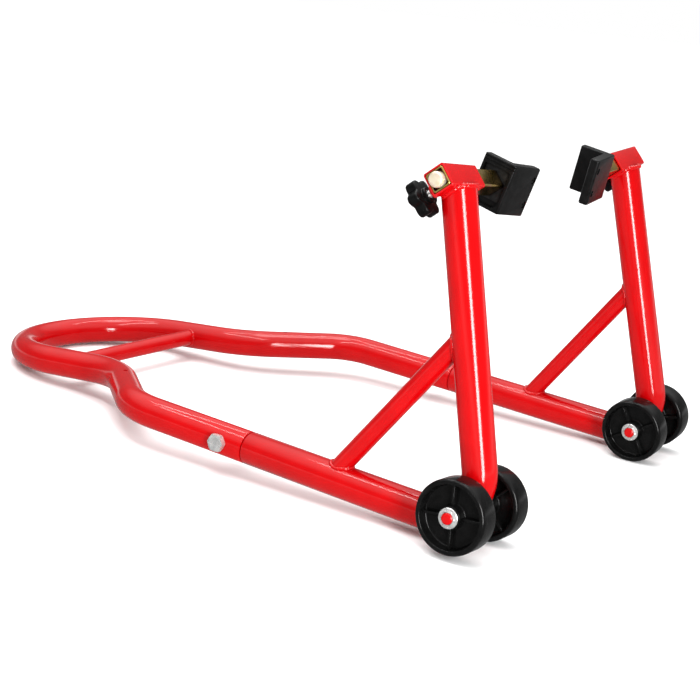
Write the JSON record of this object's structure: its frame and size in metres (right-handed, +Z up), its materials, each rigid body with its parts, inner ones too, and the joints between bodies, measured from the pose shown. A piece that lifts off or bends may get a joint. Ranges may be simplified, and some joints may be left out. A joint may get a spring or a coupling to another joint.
{
  "type": "rear paddock stand",
  "caption": "Motorcycle rear paddock stand: tubular side frames on twin wheels, a bolt-on handle loop, and sliding, swivelling L-shaped swingarm pads clamped by star knobs.",
  "frame": {"origin": "bottom centre of the bounding box, on the floor the inner wheels and the handle loop rest on", "axes": "+X from the handle loop to the wheels, +Y to the side frame named right, +Z up"},
  "size_m": [0.8878, 0.6058, 0.4007],
  "materials": {
    "red_paint": "gloss powder coat",
    "zinc": "clear zinc plate",
    "yellow_zinc": "yellow passivated zinc plate",
    "wheel_plastic": "semi-gloss moulded",
    "knob_plastic": "satin moulded",
    "pad_rubber": "satin moulded",
    "black_steel": "black oxide"
  },
  "bodies": {
    "frame": {"handle_loop": "red_paint", "handle_crossbar": "red_paint", "left_side_tube": "red_paint", "left_brace_tube": "red_paint", "left_head_tube": "red_paint", "left_clamp_nut": "red_paint", "left_axle": "red_paint", "left_outer_spacer": "zinc", "left_inner_spacer": "zinc", "left_outer_retainer": "zinc", "left_inner_retainer": "zinc", "left_joint_bolt": "zinc", "left_joint_nut": "zinc", "right_side_tube": "red_paint", "right_brace_tube": "red_paint", "right_head_tube": "red_paint", "right_clamp_nut": "red_paint", "right_axle": "red_paint", "right_outer_spacer": "zinc", "right_inner_spacer": "zinc", "right_outer_retainer": "zinc", "right_inner_retainer": "zinc", "right_joint_bolt": "zinc", "right_joint_nut": "zinc"},
    "left_outer_wheel": {"left_outer_wheel": "wheel_plastic"},
    "left_inner_wheel": {"left_inner_wheel": "wheel_plastic"},
    "left_slide": {"left_slide_tube": "yellow_zinc"},
    "left_pad": {"left_pivot_bolt": "yellow_zinc", "left_pad_bracket": "black_steel", "left_pad": "pad_rubber", "left_pad_screw_lower": "black_steel", "left_pad_screw_upper": "black_steel"},
    "left_stud": {"left_knob_stud": "zinc"},
    "left_knob": {"left_knob": "knob_plastic"},
    "right_outer_wheel": {"right_outer_wheel": "wheel_plastic"},
    "right_inner_wheel": {"right_inner_wheel": "wheel_plastic"},
    "right_slide": {"right_slide_tube": "yellow_zinc"},
    "right_pad": {"right_pivot_bolt": "yellow_zinc", "right_pad_bracket": "black_steel", "right_pad": "pad_rubber", "right_pad_screw_lower": "black_steel", "right_pad_screw_upper": "black_steel"},
    "right_stud": {"right_knob_stud": "zinc"},
    "right_knob": {"right_knob": "knob_plastic"}
  },
  "joints": [
    {"name": "left_outer_wheel_spin", "type": "hinge", "parent": "frame", "child": "left_outer_wheel", "pos_m": [0.4036, -0.28242, 0.04601], "axis": [0, -0.9979, 0.0645], "continuous": true},
    {"name": "left_inner_wheel_spin", "type": "hinge", "parent": "frame", "child": "left_inner_wheel", "pos_m": [0.4036, -0.20498, 0.04101], "axis": [0, -0.9979, 0.0645], "continuous": true},
    {"name": "left_width_slide", "type": "slide", "parent": "frame", "child": "left_slide", "axis": [0, 0.9966, -0.0819], "range_m": [-0.044, 0.012]},
    {"name": "left_pad_swivel", "type": "hinge", "parent": "left_slide", "child": "left_pad", "pos_m": [0.3247, -0.13453, 0.36821], "axis": [0, -0.9966, 0.0819], "range_deg": [-90, 90]},
    {"name": "left_stud_travel", "type": "slide", "parent": "frame", "child": "left_stud", "axis": [-0.7694, -0.0523, -0.6366], "range_m": [0, 0.0026]},
    {"name": "left_knob_turn", "type": "hinge", "parent": "left_stud", "child": "left_knob", "pos_m": [0.30014, -0.24161, 0.35329], "axis": [-0.7694, -0.0523, -0.6366], "range_deg": [0, 720]},
    {"name": "right_outer_wheel_spin", "type": "hinge", "parent": "frame", "child": "right_outer_wheel", "pos_m": [0.4036, 0.28242, 0.04601], "axis": [0, 0.9979, 0.0645], "continuous": true},
    {"name": "right_inner_wheel_spin", "type": "hinge", "parent": "frame", "child": "right_inner_wheel", "pos_m": [0.4036, 0.20498, 0.04101], "axis": [0, 0.9979, 0.0645], "continuous": true},
    {"name": "right_width_slide", "type": "slide", "parent": "frame", "child": "right_slide", "axis": [0, -0.9966, -0.0819], "range_m": [-0.044, 0.012]},
    {"name": "right_pad_swivel", "type": "hinge", "parent": "right_slide", "child": "right_pad", "pos_m": [0.3247, 0.13453, 0.36821], "axis": [0, 0.9966, 0.0819], "range_deg": [-90, 90]},
    {"name": "right_stud_travel", "type": "slide", "parent": "frame", "child": "right_stud", "axis": [-0.7694, 0.0523, -0.6366], "range_m": [0, 0.0026]},
    {"name": "right_knob_turn", "type": "hinge", "parent": "right_stud", "child": "right_knob", "pos_m": [0.30014, 0.24161, 0.35329], "axis": [-0.7694, 0.0523, -0.6366], "range_deg": [0, 720]}
  ],
  "couplings": [
    {"joint": "left_stud_travel", "follows": "left_knob_turn", "m_per_rad": 0.00019894},
    {"joint": "right_stud_travel", "follows": "right_knob_turn", "m_per_rad": 0.00019894}
  ]
}
